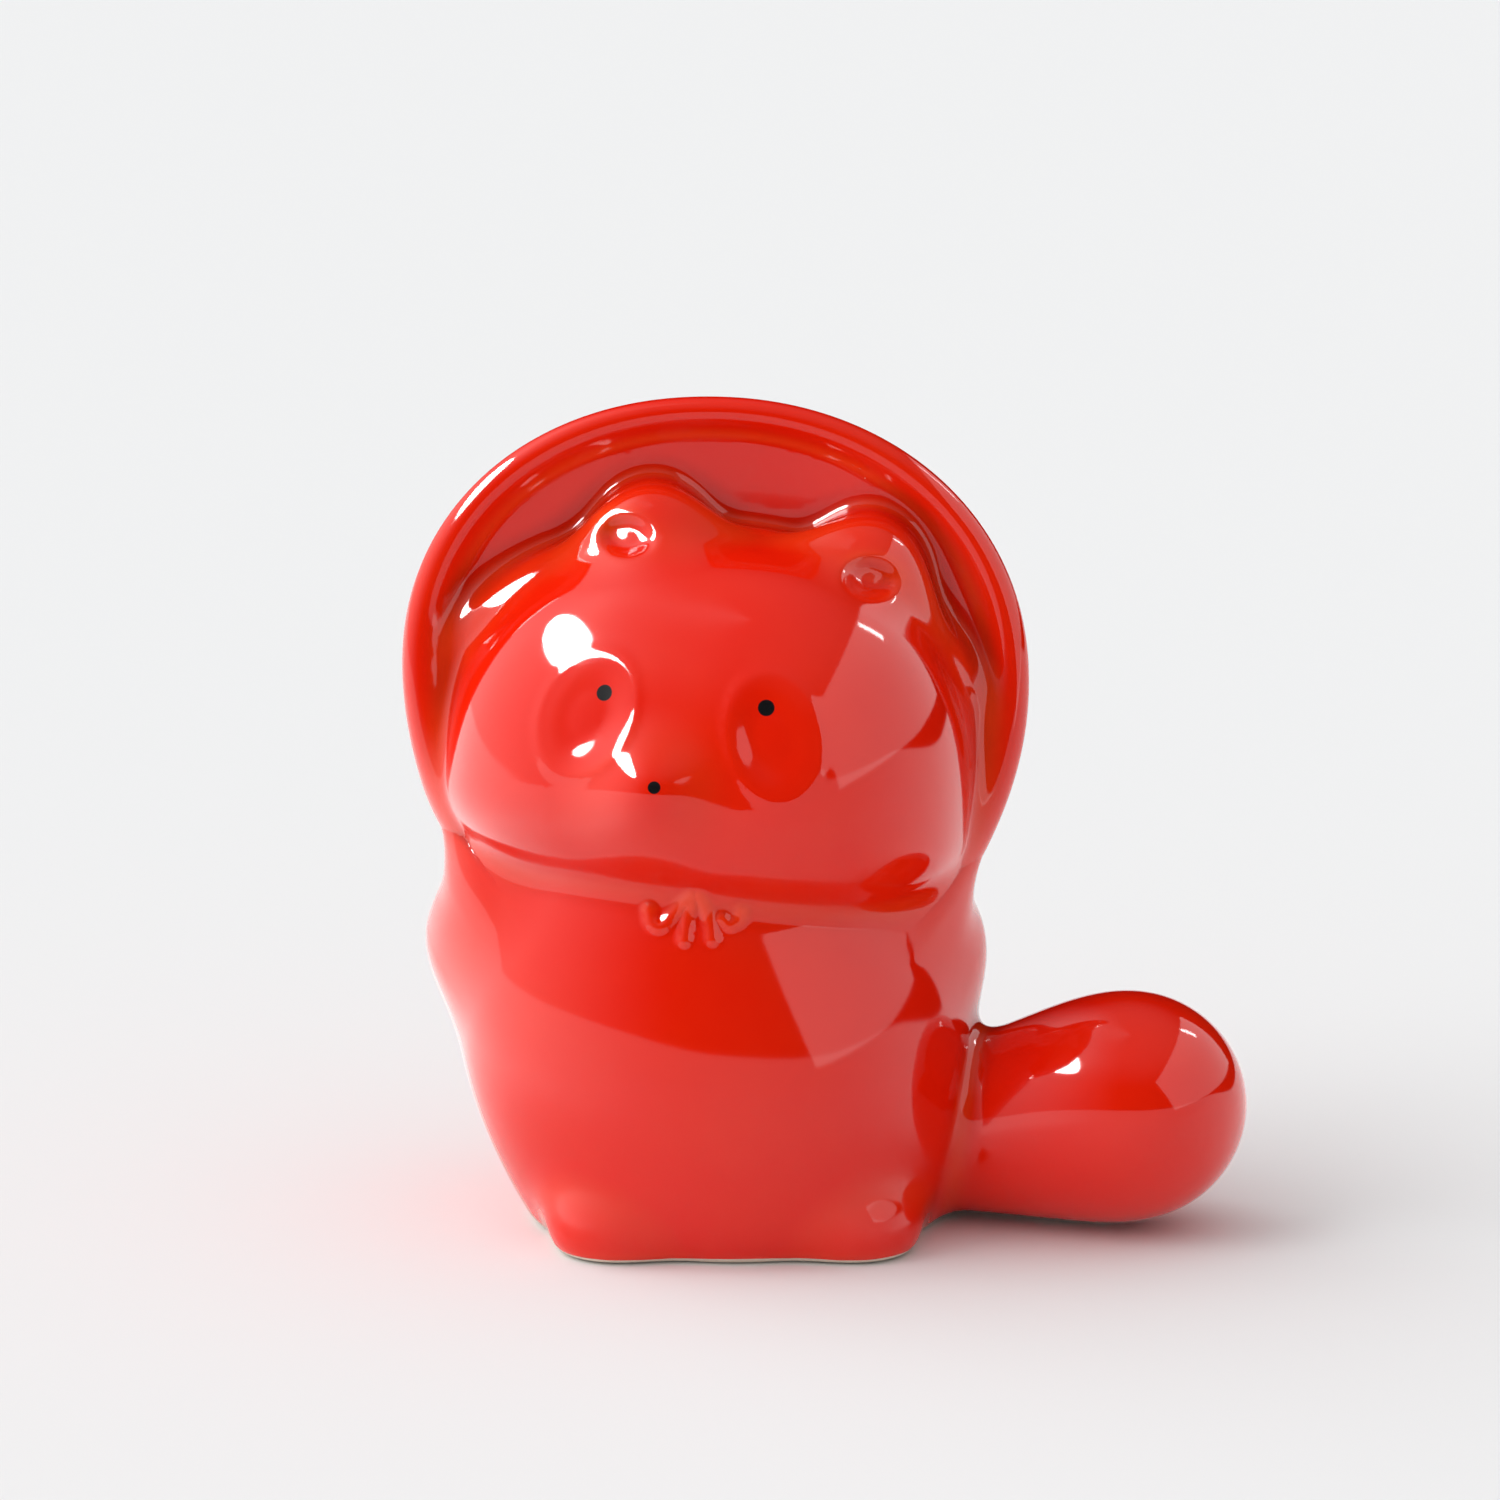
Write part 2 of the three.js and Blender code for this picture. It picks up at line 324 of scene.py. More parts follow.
@dataclass(frozen=True)
class Head:
    """Bluff rounded head in front of the dish, tilted and turned, with snout, ears and eye hollows.

    Its own axes are lx across the tilted face, ly up it and dn out of the dish.
    """

    centre: Triple = (-0.8, -4.5, -5.0)
    roll: float = 6.6
    yaw: float = 13.0
    middle: float = 2.6
    brow_base: float = -9.6
    left_cheek: float = 29.3
    right_cheek: float = 26.6
    brow: float = 28.0
    jaw: float = 12.5
    depth: float = 25.5
    powers: tuple[float, float, float, float] = (2.15, 2.4, 2.05, 2.4)
    temple_square: float = 0.3
    temple_rise: Pair = (-6.0, 10.0)
    level: float = 2.3
    back_radii: Pair = (29.6, 18.9)
    back_front: Pair = (-3.0, -0.6)
    back_rise: Pair = (-2.0, 9.0)
    back_edge: float = 3.5
    back_blend: float = 6.0
    back_sunk: float = 2.0
    sunk_edge: float = 0.8
    snout: Triple = (-4.6, -9.0, 19.0)
    snout_radii: Triple = (5.0, 4.4, 8.2)
    snout_blend: float = 5.5
    ears: tuple[Pair, Pair] = ((-8.0, 17.2), (15.0, 16.6))
    ear_front: float = 0.5
    ear_radii: Triple = (6.3, 7.0, 8.5)
    ear_blend: Pair = (3.0, 8.0)
    ear_blend_rise: Pair = (0.0, 9.0)
    cups: tuple[Pair, Pair] = ((-10.4, 17.3), (15.3, 15.7))
    cup_radii: Pair = (2.2, 1.7)
    cup_depth: float = 0.9
    cup_fall: float = 0.6
    cup_from: float = 1.0
    hollows: tuple[Pair, Pair] = ((-12.1, -1.7), (7.1, -2.0))
    hollow_radii: Pair = (3.9, 5.5)
    hollow_tilt: float = 18.0
    hollow_depth: float = 0.50
    hollow_rim: Pair = (0.40, 1.15)
    hollow_lean: Pair = (0.60, -0.10)
    hollow_lip: float = 0.09
    hollow_lip_at: Pair = (1.22, 0.14)
    hollow_from: float = 5.0

    def own_axes(self, u: np.ndarray, v: np.ndarray, n: np.ndarray) -> tuple[np.ndarray, ...]:
        """Turns places of the hat into places of the head.

        Args:
            u: coordinates to the right, in the hat's axes.
            v: coordinates up the dish.
            n: coordinates out of the dish.

        Returns:
            Coordinates lx, ly and dn.
        """
        turn = math.radians(self.roll)
        du, dv, dn = u - self.centre[0], v - self.centre[1], n - self.centre[2]
        across = du * math.cos(turn) - dv * math.sin(turn)
        up = du * math.sin(turn) + dv * math.cos(turn)
        return across, up, dn

    def bluff(self, lx: np.ndarray, ly: np.ndarray, dn: np.ndarray) -> np.ndarray:
        """Measures points against the plain rounded head, without snout and ears.

        Args:
            lx: coordinates across the face, in the head's axes.
            ly: coordinates up the face.
            dn: coordinates out of the dish.

        Returns:
            Distances to the plain head.
        """
        turn = math.radians(self.yaw)
        across = lx * math.cos(turn) + dn * math.sin(turn) - self.middle
        out = -lx * math.sin(turn) + dn * math.cos(turn)
        up = ly - self.brow_base
        side, top, under, front = self.powers
        side = side + self.temple_square * smooth_step(*self.temple_rise, up)
        radii = (
            np.where(across > 0, self.right_cheek, self.left_cheek),
            np.where(up > 0, self.brow, self.jaw),
            self.depth,
        )
        powers = (side, np.where(up > 0, top, under), front)
        parts = [np.abs(o / r) + 1e-3 for o, r in zip((across, up, out), radii)]
        total = sum(part**power for part, power in zip(parts, powers))
        slopes = [power * part ** (power - 1) / r for part, power, r in zip(parts, powers, radii)]
        steepness = np.sqrt(sum(slope**2 for slope in slopes))
        height = total ** (1 / self.level)
        return (height - 1) / (steepness * total ** (1 / self.level - 1) / self.level + 1e-6)

    def hollow(
        self, lx: np.ndarray, ly: np.ndarray, dn: np.ndarray, at: Pair, side: int
    ) -> np.ndarray:
        """Shapes one eye hollow with the faint lip round it.

        Args:
            lx: coordinates across the face, in the head's axes.
            ly: coordinates up the face.
            dn: coordinates out of the dish.
            at: middle of the hollow, across and up the face.
            side: 1 for the left eye and -1 for the right.

        Returns:
            Depths to take off the head.
        """
        turn = math.radians(self.hollow_tilt)
        across, up = (lx - at[0]) * side, ly - at[1]
        turned = (
            across * math.cos(turn) - up * math.sin(turn),
            across * math.sin(turn) + up * math.cos(turn),
        )
        share = np.sqrt(sum((o / r) ** 2 for o, r in zip(turned, self.hollow_radii)))
        lean = 1 + sum(by * o / r for by, o, r in zip(self.hollow_lean, turned, self.hollow_radii))
        bowl = self.hollow_depth * (1 - smooth_step(*self.hollow_rim, share)) * lean
        lip_share, lip_width = self.hollow_lip_at
        lip = self.hollow_lip * np.exp(-(((share - lip_share) / lip_width) ** 2))
        return (bowl - lip) * (dn > self.hollow_from)

    def distance(self, u: np.ndarray, v: np.ndarray, n: np.ndarray, above: np.ndarray) -> np.ndarray:
        """Measures points against the head.

        Args:
            u: coordinates to the right, in the hat's axes.
            v: coordinates up the dish.
            n: coordinates out of the dish.
            above: heights above the dish, so that nothing of the head pierces it.

        Returns:
            Distances to the head.
        """
        lx, ly, dn = self.own_axes(u, v, n)
        form = self.bluff(lx, ly, dn)
        raised = smooth_step(*self.back_rise, ly)
        front = self.back_front[0] + (self.back_front[1] - self.back_front[0]) * raised
        back = smooth_max(ellipsoid((lx, ly), self.back_radii), n - front, self.back_edge)
        form = smooth_min(form, back, self.back_blend)
        snout = tuple(o - c for o, c in zip((lx, ly, dn), self.snout))
        form = smooth_min(form, ellipsoid(snout, self.snout_radii), self.snout_blend)
        base, front = self.ear_blend
        ear_blend = base + (front - base) * smooth_step(*self.ear_blend_rise, dn)
        for ear, cup in zip(self.ears, self.cups):
            offset = (lx - ear[0], ly - ear[1], np.maximum(dn - self.ear_front, 0))
            form = smooth_min(form, ellipsoid(offset, self.ear_radii), ear_blend)
            share = sum(((o - c) / r) ** 2 for o, c, r in zip((lx, ly), cup, self.cup_radii))
            dip = self.cup_depth * np.exp(-self.cup_fall * share * share)
            form = form + dip * (dn > self.cup_from)
        form = form + self.hollow(lx, ly, dn, self.hollows[0], 1)
        form = form + self.hollow(lx, ly, dn, self.hollows[1], -1)
        return smooth_max(form, -above - self.back_sunk, self.sunk_edge)


@dataclass(frozen=True)
class Bow:
    """Bow in low relief under the chin: two loops and two tails, each a fine raised cord."""

    cord: float = 0.50
    sunk: float = 0.32
    blend: float = 0.9
    steps: int = 9
    ahead: float = -26.0
    rounds: int = 60
    advance: float = 0.8
    margin: float = 3.0
    strands: tuple[tuple[Pair, ...], ...] = (
        ((-4.6, 39.0), (-6.3, 37.0), (-7.7, 35.6), (-8.7, 35.9), (-9.0, 37.2)),
        ((-4.6, 38.4), (-5.1, 36.4), (-5.4, 34.4)),
        ((-3.9, 39.0), (-3.2, 37.4), (-2.7, 35.6), (-2.6, 34.5)),
        ((-1.6, 36.4), (-0.8, 35.8), (0.1, 36.3), (0.4, 37.3)),
    )

    def paths(self) -> list[np.ndarray]:
        """Draws a smooth path through each strand's points.

        Returns:
            The paths, as rows of x and z.
        """
        made = []
        for strand in self.strands:
            knots = np.array(strand)
            knots = np.vstack([2 * knots[0] - knots[1], knots, 2 * knots[-1] - knots[-2]])
            rows = []
            for i in range(1, len(knots) - 2):
                before, start, end, after = knots[i - 1:i + 3]
                for t in np.linspace(0, 1, self.steps, endpoint=False):
                    rows.append(0.5 * (
                        2 * start + (end - before) * t
                        + (2 * before - 5 * start + 4 * end - after) * t * t
                        + (3 * start - before - 3 * end + after) * t ** 3
                    ))
            rows.append(knots[-2])
            made.append(np.array(rows))
        return made


@dataclass
class Figure:
    """The whole figure as one blended skin."""

    body: Body = field(default_factory=Body)
    tail: Tail = field(default_factory=Tail)
    hat: Hat = field(default_factory=Hat)
    head: Head = field(default_factory=Head)
    bow: Bow = field(default_factory=Bow)
    tail_blend: float = 3.0
    hat_blend: float = 2.4
    nape_blend: float = 5.0
    chin_blend: float = 3.0
    foot_edge: float = 1.2
    low: Triple = (-37.5, -31.0, -1.5)
    high: Triple = (55.5, 28.0, 88.0)
    pitch: float = 0.62
    cords: list[np.ndarray] = field(default_factory=list)
    bow_low: np.ndarray = field(default_factory=lambda: np.full(3, np.inf))
    bow_high: np.ndarray = field(default_factory=lambda: np.full(3, -np.inf))

    def plain(self, points: np.ndarray) -> np.ndarray:
        """Measures points against the figure without its bow.

        Args:
            points: rows of x, y and z, in millimetres.

        Returns:
            Distances to the figure.
        """
        x, y, z = points[..., 0], points[..., 1], points[..., 2]
        lower = smooth_min(self.body.distance(x, y, z), self.tail.distance(x, y, z), self.tail_blend)
        u, v, n = self.hat.own_axes(x, y, z)
        hat, above = self.hat.distance(u, v, n)
        head = self.head.distance(u, v, n, above)
        form = smooth_min(head, hat, self.hat_blend)
        form = np.minimum(form, smooth_min(lower, hat, self.nape_blend))
        form = np.minimum(form, smooth_min(lower, head, self.chin_blend))
        return smooth_max(form, -z, self.foot_edge)

    def lay_bow(self) -> None:
        """Lays the bow's strands on the front of the body and notes the space round them."""
        self.cords = []
        for path in self.bow.paths():
            front = np.column_stack([path[:, 0], np.full(len(path), self.bow.ahead), path[:, 1]])
            for _ in range(self.bow.rounds):
                front[:, 1] += np.maximum(self.plain(front), 0) * self.bow.advance
            front[:, 1] += self.bow.sunk
            self.cords.append(front)
        knots = np.vstack(self.cords)
        self.bow_low = knots.min(0) - self.bow.margin
        self.bow_high = knots.max(0) + self.bow.margin

    def distance(self, points: np.ndarray) -> np.ndarray:
        """Measures points against the finished figure.

        Args:
            points: rows of x, y and z, in millimetres.

        Returns:
            Distances to the figure.
        """
        form = self.plain(points)
        near = ((points > self.bow_low) & (points < self.bow_high)).all(-1)
        if not near.any():
            return form
        close = points[near]
        cord = np.full(len(close), np.inf)
        for path in self.cords:
            for start, end in zip(path[:-1], path[1:]):
                along = end - start
                share = np.clip((close - start) @ along / (along @ along), 0, 1)
                gap = close - start - share[:, None] * along
                cord = np.minimum(cord, np.sqrt((gap * gap).sum(1)) - self.bow.cord)
        form[near] = smooth_min(form[near], cord, self.bow.blend)
        return form

    def gradient(self, points: np.ndarray, step: float = 0.04) -> np.ndarray:
        """Finds the slope of the distance, which is the outward direction on the surface.

        Args:
            points: rows of x, y and z, in millimetres.
            step: how far to each side the distance is measured.

        Returns:
            Slopes, as rows of x, y and z.
        """
        slopes = []
        for axis in range(3):
            shift = np.zeros(3)
            shift[axis] = step
            slopes.append(self.distance(points + shift) - self.distance(points - shift))
        return np.stack(slopes, -1) / (2 * step)


# The net of facets

@dataclass
class Skin:
    """Net of facets drawn on the surface of the figure."""

    figure: Figure
    flattest: float = 0.2
    sharp_turn: float = 7.0
    shortest_cuts: Pair = (0.30, 0.20)
    points: np.ndarray = field(default_factory=lambda: np.zeros((0, 3)))
    faces: np.ndarray = field(default_factory=lambda: np.zeros((0, 3), int))
    normals: np.ndarray = field(default_factory=lambda: np.zeros((0, 3)))

    def cast(self) -> None:
        """Draws an even net of four-sided facets where the distance is nought."""
        pitch = self.figure.pitch
        axes = [np.arange(lo, hi, pitch) for lo, hi in zip(self.figure.low, self.figure.high)]
        values = np.empty([len(a) for a in axes], np.float32)
        across, deep = np.meshgrid(axes[1], axes[2], indexing="ij")
        for i, x in enumerate(axes[0]):
            place = np.stack([np.full_like(across, x), across, deep], -1)
            values[i] = self.figure.plain(place.astype(np.float32))
        cells = tuple(n - 1 for n in values.shape)
        total, count = np.zeros((3, math.prod(cells))), np.zeros(math.prod(cells))
        quads = []
        for axis in range(3):
            size = values.shape[axis]
            here = values.take(range(size - 1), axis)
            there = values.take(range(1, size), axis)
            index = np.array(np.nonzero((here < 0) != (there < 0)))
            start, end = here[tuple(index)], there[tuple(index)]
            crossing = index.astype(float)
            crossing[axis] += start / (start - end)
            first, second = [other for other in range(3) if other != axis]
            ring = []
            for shift in ((0, 0), (-1, 0), (-1, -1), (0, -1)):
                cell = index.copy()
                cell[first] += shift[0]
                cell[second] += shift[1]
                flat = np.ravel_multi_index(cell, cells)
                ring.append(flat)
                count += np.bincount(flat, minlength=len(count))
                for part in range(3):
                    total[part] += np.bincount(flat, weights=crossing[part], minlength=len(count))
            quad = np.stack(ring, 1)
            turned = (start >= 0) != (axis == 1)
            quad[turned] = quad[turned][:, ::-1]
            quads.append(quad)
        used = np.flatnonzero(count)
        place_of = np.full(len(count), -1)
        place_of[used] = np.arange(len(used))
        self.points = (total[:, used] / count[used]).T * pitch + np.array([a[0] for a in axes])
        self.faces = place_of[np.vstack(quads)]

    def settle(self, rounds: int = 2) -> None:
        """Moves the points onto the surface along its slope.

        Args:
            rounds: how many times every point is moved.
        """
        for _ in range(rounds):
            slope = self.figure.gradient(self.points)
            size = np.maximum((slope * slope).sum(1), self.flattest)
            self.points -= slope * (self.figure.distance(self.points) / size)[:, None]

    def relax(self, rounds: int = 5, share: float = 0.5) -> None:
        """Evens out the net: points move along the surface towards the middle of their neighbours.

        Args:
            rounds: how many times every point is moved.
            share: how much of the way to the middle it moves.
        """
        corners = self.faces.shape[1]
        links = np.vstack([self.faces[:, [i, (i + 1) % corners]] for i in range(corners)])
        links = np.unique(np.sort(links, 1), axis=0)
        count = np.bincount(links.ravel(), minlength=len(self.points))
        for _ in range(rounds):
            total = np.zeros_like(self.points)
            for part in range(3):
                column = self.points[:, part]
                for here, there in (links.T, links.T[::-1]):
                    total[:, part] += np.bincount(here, weights=column[there], minlength=len(column))
            move = (total / count[:, None] - self.points) * share
            slope = self.figure.gradient(self.points)
            slope /= np.linalg.norm(slope, axis=1)[:, None] + 1e-9
            self.points += move - slope * (move * slope).sum(1)[:, None]
            self.settle(1)

    def split_quads(self) -> None:
        """Cuts each four-sided facet along its shorter diagonal."""
        a, b, c, d = self.faces.T
        first = np.linalg.norm(self.points[a] - self.points[c], axis=1)
        second = np.linalg.norm(self.points[b] - self.points[d], axis=1)
        short = first <= second
        one = np.where(short[:, None], np.stack([a, b, c], 1), np.stack([a, b, d], 1))
        two = np.where(short[:, None], np.stack([a, c, d], 1), np.stack([b, c, d], 1))
        self.faces = np.vstack([one, two])

    def refine(self, shortest: float) -> None:
        """Cuts facets finer where the surface bends quickly.

        Args:
            shortest: length, in millimetres, under which no edge is cut.
        """
        slope = self.figure.gradient(self.points)
        slope /= np.linalg.norm(slope, axis=1)[:, None] + 1e-9
        links = np.sort(self.faces[:, [[0, 1], [1, 2], [2, 0]]].reshape(-1, 2), 1)
        edges, back = np.unique(links, axis=0, return_inverse=True)
        back = back.reshape(-1, 3)
        bend = (slope[edges[:, 0]] * slope[edges[:, 1]]).sum(1)
        length = np.linalg.norm(self.points[edges[:, 0]] - self.points[edges[:, 1]], axis=1)
        cut = (bend < math.cos(math.radians(self.sharp_turn))) & (length > shortest)
        middle_of = np.full(len(edges), -1)
        middle_of[cut] = len(self.points) + np.arange(cut.sum())
        middles = (self.points[edges[cut, 0]] + self.points[edges[cut, 1]]) / 2
        middles_of_face = middle_of[back]
        cuts = middles_of_face >= 0
        made = [self.faces[cuts.sum(1) == 0]]
        for pattern in range(3):
            turned = np.roll(self.faces, -pattern, 1)
            halves = np.roll(middles_of_face, -pattern, 1)
            marks = np.roll(cuts, -pattern, 1)
            one = marks[:, 0] & ~marks[:, 1] & ~marks[:, 2]
            a, b, c = turned[one].T
            m = halves[one, 0]
            made += [np.stack([a, m, c], 1), np.stack([m, b, c], 1)]
            two = marks[:, 0] & marks[:, 1] & ~marks[:, 2]
            a, b, c = turned[two].T
            m, n = halves[two, 0], halves[two, 1]
            made += [np.stack([m, b, n], 1), np.stack([a, m, n], 1), np.stack([a, n, c], 1)]
        every = cuts.all(1)
        a, b, c = self.faces[every].T
        m, n, o = middles_of_face[every].T
        made += [np.stack(t, 1) for t in ((a, m, o), (m, b, n), (o, n, c), (m, n, o))]
        self.points = np.vstack([self.points, middles])
        self.faces = np.vstack(made)
        self.settle(2)

    def draw(self) -> None:
        """Draws the whole net and keeps the outward direction at each point."""
        self.cast()
        self.settle()
        self.relax()
        self.split_quads()
        for shortest in self.shortest_cuts:
            self.refine(shortest)
        self.settle()
        slope = self.figure.gradient(self.points)
        self.normals = slope / (np.linalg.norm(slope, axis=1)[:, None] + 1e-9)

    def closeness(self, reach: float) -> tuple[np.ndarray, np.ndarray]:
        """How strongly the surface is hollowed or raised at each point. The glaze darkens with the hollow
        measure, as pooled glaze and painted shade.

        Args:
            reach: size of the neighbourhood looked at, in millimetres.

        Returns:
            Hollow and ridge, each from 0 to 1.
        """
        outside = self.figure.distance(self.points + self.normals * reach) / reach
        inside = -self.figure.distance(self.points - self.normals * reach) / reach
        return np.clip(1 - outside, 0, 1), np.clip(1 - inside, 0, 1)


# Materials

class Wires:
    """Short ways to add and join shader nodes."""

    speck_widths: Pair = (0.5, 1.0)
    speck_edge: Pair = (0.7, 1.1)

    def __init__(self, tree: bpy.types.NodeTree) -> None:
        """Keeps the node tree and empties it."""
        self.tree = tree
        tree.nodes.clear()

    def add(self, kind: str, **settings: object) -> bpy.types.Node:
        """Adds a node.

        Args:
            kind: name of the node's type.
            settings: properties to set on it.

        Returns:
            The node.
        """
        node = self.tree.nodes.new(kind)
        for name, value in settings.items():
            setattr(node, name, value)
        return node

    def join(self, source: bpy.types.NodeSocket, target: bpy.types.NodeSocket) -> None:
        """Joins an output to an input."""
        self.tree.links.new(source, target)

    def feed(self, target: bpy.types.NodeSocket, value: object) -> None:
        """Fills an input.

        Args:
            target: the input.
            value: a plain value, or another node's output.
        """
        if isinstance(value, bpy.types.NodeSocket):
            self.join(value, target)
        else:
            target.default_value = value

    def math(self, operation: str, *values: object, clamp: bool = False) -> bpy.types.NodeSocket:
        """Does arithmetic.

        Args:
            operation: name of the operation.
            values: plain values or other nodes' outputs.
            clamp: whether the result is kept from 0 to 1.

        Returns:
            The result's socket.
        """
        node = self.add("ShaderNodeMath", operation=operation, use_clamp=clamp)
        for target, value in zip(node.inputs, values):
            self.feed(target, value)
        return node.outputs[0]

    def ramp(self, value: object, low: float, high: float, to: Pair = (0.0, 1.0)) -> bpy.types.NodeSocket:
        """Maps a value smoothly to a new range.

        Args:
            value: plain value or another node's output.
            low: value that becomes the first end of the new range.
            high: value that becomes its second end.
            to: the new range.

        Returns:
            The result's socket.
        """
        node = self.add("ShaderNodeMapRange", interpolation_type="SMOOTHSTEP")
        self.feed(node.inputs["Value"], value)
        for name, number in zip(("From Min", "From Max", "To Min", "To Max"), (low, high, *to)):
            node.inputs[name].default_value = number
        return node.outputs["Result"]

    def blend(self, share: object, first: object, second: object) -> bpy.types.NodeSocket:
        """Mixes two colours.

        Args:
            share: how much of the second colour shows.
            first: colour or another node's output.
            second: colour or another node's output.

        Returns:
            The mixed colour's socket.
        """
        node = self.add("ShaderNodeMix", data_type="RGBA")
        self.feed(node.inputs[0], share)
        self.feed(node.inputs[6], first)
        self.feed(node.inputs[7], second)
        return node.outputs[2]

    def noise(
        self, place: object, size: float, detail: float = 2.0, seed: float = 0.0
    ) -> bpy.types.NodeSocket:
        """Makes a cloudy value.

        Args:
            place: the socket that gives the place on the surface.
            size: rough size of a lump, in millimetres.
            detail: how many finer layers are added.
            seed: which pattern is drawn.

        Returns:
            Socket from 0 to 1.
        """
        node = self.add("ShaderNodeTexNoise", noise_dimensions="4D")
        self.feed(node.inputs["Vector"], place)
        node.inputs["W"].default_value = seed
        node.inputs["Scale"].default_value = 1 / (size * MM)
        node.inputs["Detail"].default_value = detail
        return node.outputs["Fac"]

    def specks(
        self, place: object, spacing: float, size: float, share: float, seed: Triple
    ) -> bpy.types.NodeSocket:
        """Scatters round specks.

        Args:
            place: the socket that gives the place on the surface.
            spacing: mean distance between neighbours, in millimetres.
            size: diameter of a speck, in millimetres.
            share: share of the places that hold one.
            seed: shift of the pattern.

        Returns:
            Socket that is 1 inside a speck and 0 elsewhere.
        """
        shift = self.add("ShaderNodeVectorMath", operation="ADD")
        self.feed(shift.inputs[0], place)
        shift.inputs[1].default_value = seed
        cells = self.add("ShaderNodeTexVoronoi", feature="F1")
        self.feed(cells.inputs["Vector"], shift.outputs[0])
        cells.inputs["Scale"].default_value = 1 / (spacing * MM)
        parts = self.add("ShaderNodeSeparateColor")
        self.feed(parts.inputs[0], cells.outputs["Color"])
        chosen = self.math("LESS_THAN", parts.outputs[0], share)
        width = self.ramp(parts.outputs[1], 0, 1, self.speck_widths)
        width = self.math("MULTIPLY", width, size / spacing / 2)
        inside = self.math("DIVIDE", cells.outputs["Distance"], width)
        return self.math("MULTIPLY", self.ramp(inside, *self.speck_edge, (1.0, 0.0)), chosen)


class Finish(Enum):
    """Named tones of the figure, as linear colours."""

    RED = (0.80, 0.0110, 0.0012, 1.0)
    THIN = (0.92, 0.075, 0.012, 1.0)
    # Darker red for creases and hollows: partly glaze that pools there, partly painted shade.
    POOLED_AND_SHADED = (0.30, 0.0015, 0.0008, 1.0)
    ENAMEL = (0.008, 0.008, 0.009, 1.0)
    CLAY = (0.80, 0.70, 0.58, 1.0)
    GRIT = (0.62, 0.50, 0.38, 1.0)
    SPECK = (0.95, 0.42, 0.30, 1.0)


@dataclass(frozen=True)
class Dot:
    """Dot of black enamel painted on the glaze."""

    place: Triple
    radius: float


